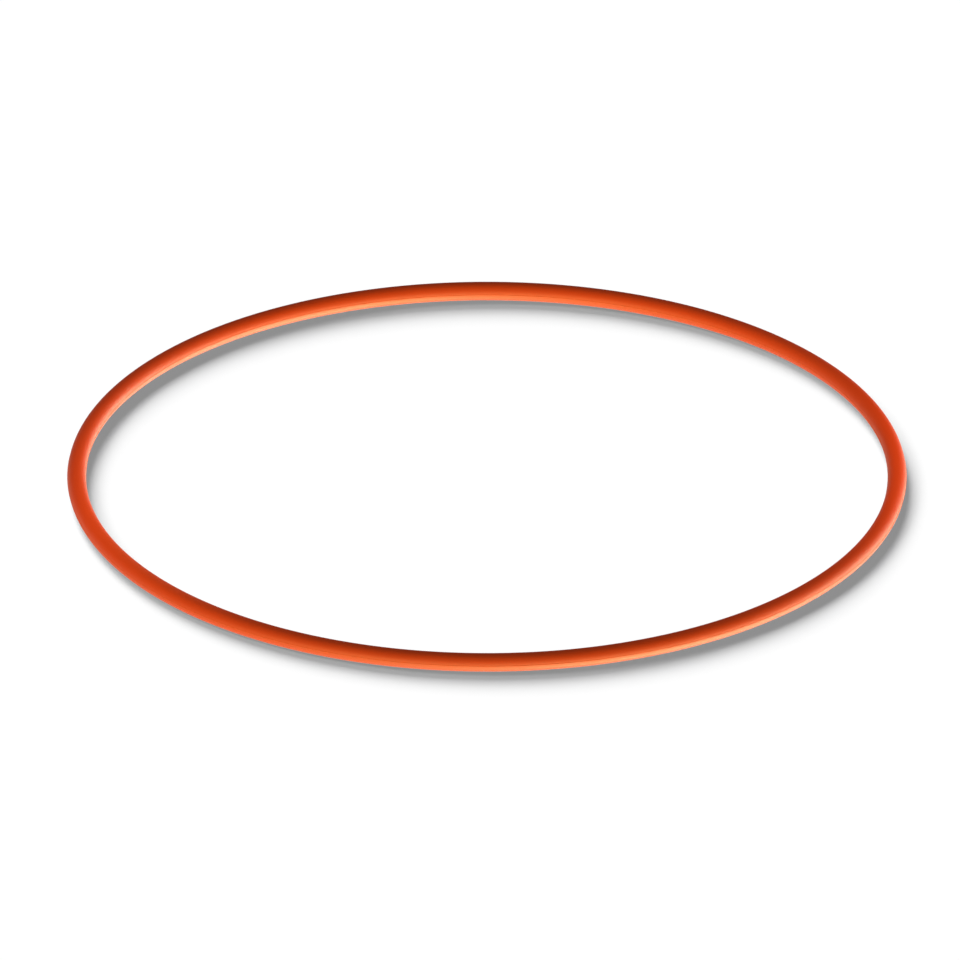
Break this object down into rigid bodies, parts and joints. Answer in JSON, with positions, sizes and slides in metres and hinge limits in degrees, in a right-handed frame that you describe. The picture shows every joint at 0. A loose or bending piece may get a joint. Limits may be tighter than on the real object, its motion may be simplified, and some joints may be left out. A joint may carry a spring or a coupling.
{
  "type": "silicone o-ring",
  "caption": "Round-section elastomer sealing ring, moulded in one piece, that seals a groove, lid or spigot.",
  "frame": {"origin": "centre of the ring, on its axis and at the mid height of its section, where the parting line lies", "axes": "+Z along the ring's axis, upwards as it lies flat; X and Y in the plane of the ring"},
  "size_m": [0.1592, 0.1592, 0.0036],
  "materials": {
    "silicone": "satin"
  },
  "bodies": {
    "root": {"o_ring": "silicone"}
  },
  "joints": []
}
